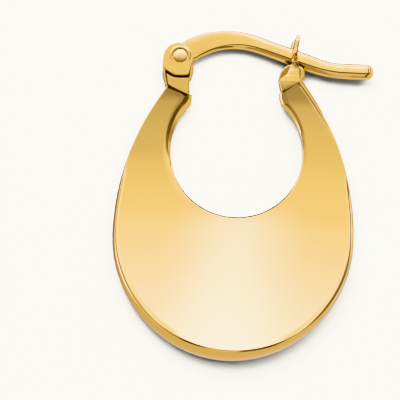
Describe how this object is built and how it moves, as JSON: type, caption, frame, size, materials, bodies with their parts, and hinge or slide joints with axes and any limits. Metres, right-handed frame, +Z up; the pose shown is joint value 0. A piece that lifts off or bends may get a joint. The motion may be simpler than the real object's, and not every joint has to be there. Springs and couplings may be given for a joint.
{
  "type": "hinged hoop earring",
  "caption": "Oval polished gold hoop earring with a round opening, flared hollow body, hinged arched post and notched catch, lying on its back.",
  "frame": {"origin": "middle of the underside of the box round the earring as it lies on its back, on the surface that it rests on", "axes": "+Z up from that surface, out of the front face within 3 degrees; +Y from the wide end to the post; +X from the hinge to the catch and the post's tip"},
  "size_m": [0.0153, 0.02, 0.0038],
  "materials": {
    "hoop": "mirror polished yellow gold",
    "hinge_rivet": "polished yellow gold",
    "ear_post": "polished yellow gold"
  },
  "bodies": {
    "hoop": {"hoop": "hoop", "hinge_rivet": "hinge_rivet"},
    "post": {"ear_post": "ear_post"}
  },
  "joints": [
    {"name": "post_hinge", "type": "hinge", "parent": "hoop", "child": "post", "pos_m": [-0.00404, 0.00819, 0.0011], "axis": [-0.0356, 0.0364, 0.9987], "range_deg": [0, 100]}
  ]
}
